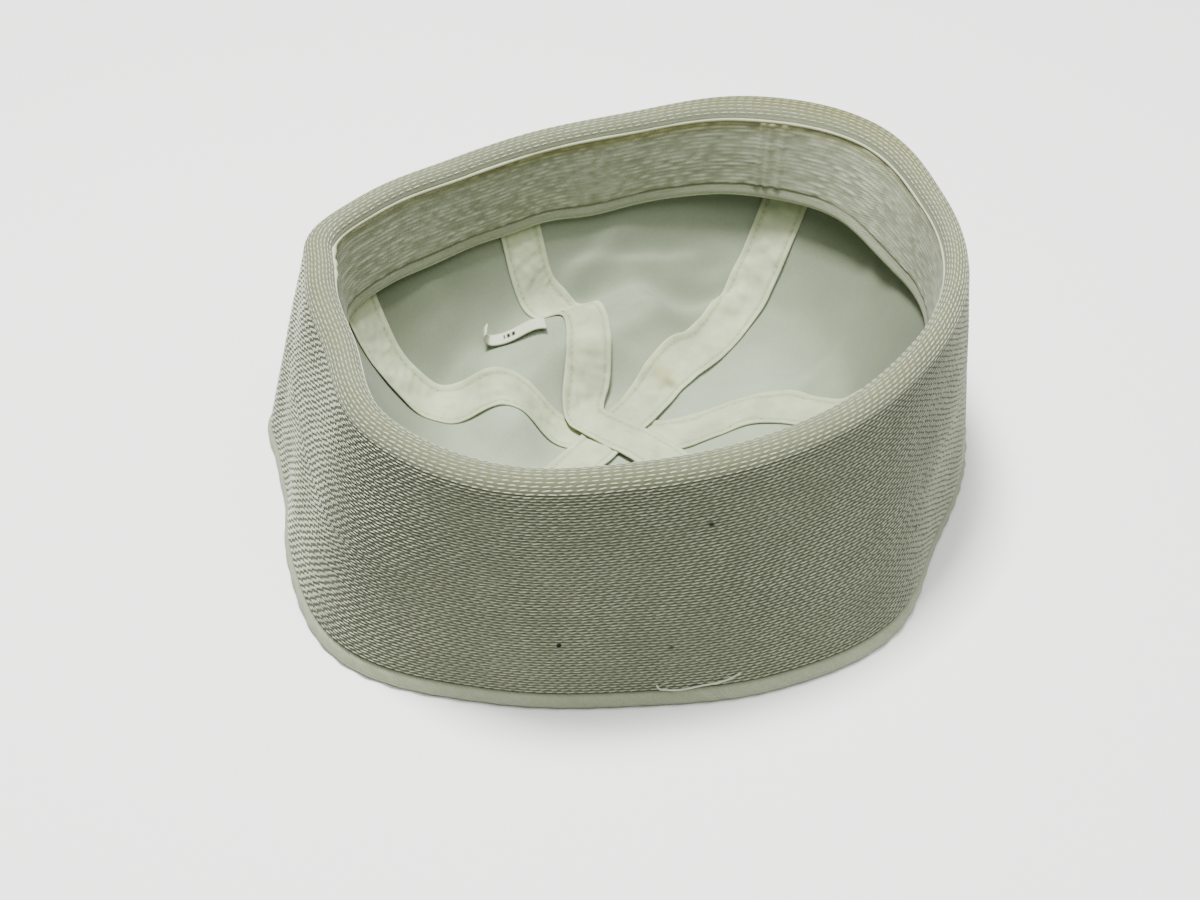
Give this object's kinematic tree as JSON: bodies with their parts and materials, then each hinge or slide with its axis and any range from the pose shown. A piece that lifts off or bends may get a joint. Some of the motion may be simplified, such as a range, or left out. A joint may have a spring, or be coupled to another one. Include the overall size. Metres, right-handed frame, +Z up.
{
  "type": "sailor cap",
  "caption": "White cotton sailor cap lying crown down, its row-stitched brim turned up round a soft gored crown with taped seams.",
  "frame": {"origin": "under the middle of the cap's box, on the surface that the brim's hem stands on", "axes": "+Z up out of the head opening, +X to the cap's right as it lies, +Y to its back, away from the viewer"},
  "size_m": [0.2258, 0.2066, 0.0822],
  "materials": {
    "stitched_cotton": "matt cotton, closely stitched in rows",
    "hem_cotton": "matt cotton twill, turned edge",
    "band_cotton": "matt cotton, quilted",
    "crown_twill": "soft cotton twill",
    "tape_twill": "pressed cotton seam tape",
    "label_tape": "smooth woven tape"
  },
  "bodies": {
    "root": {"brim": "stitched_cotton", "brim_hem": "hem_cotton", "inner_band": "band_cotton", "crown_gore_right_to_back_right": "crown_twill", "crown_gore_back_right_to_back_left": "crown_twill", "crown_gore_back_left_to_left": "crown_twill", "crown_gore_left_to_front_left": "crown_twill", "crown_gore_front_left_to_front_right": "crown_twill", "crown_gore_front_right_to_right": "crown_twill", "seam_tape_left_right": "tape_twill", "seam_tape_front_left_back_right": "tape_twill", "seam_tape_back_left_front_right": "tape_twill", "label": "label_tape"}
  },
  "joints": []
}
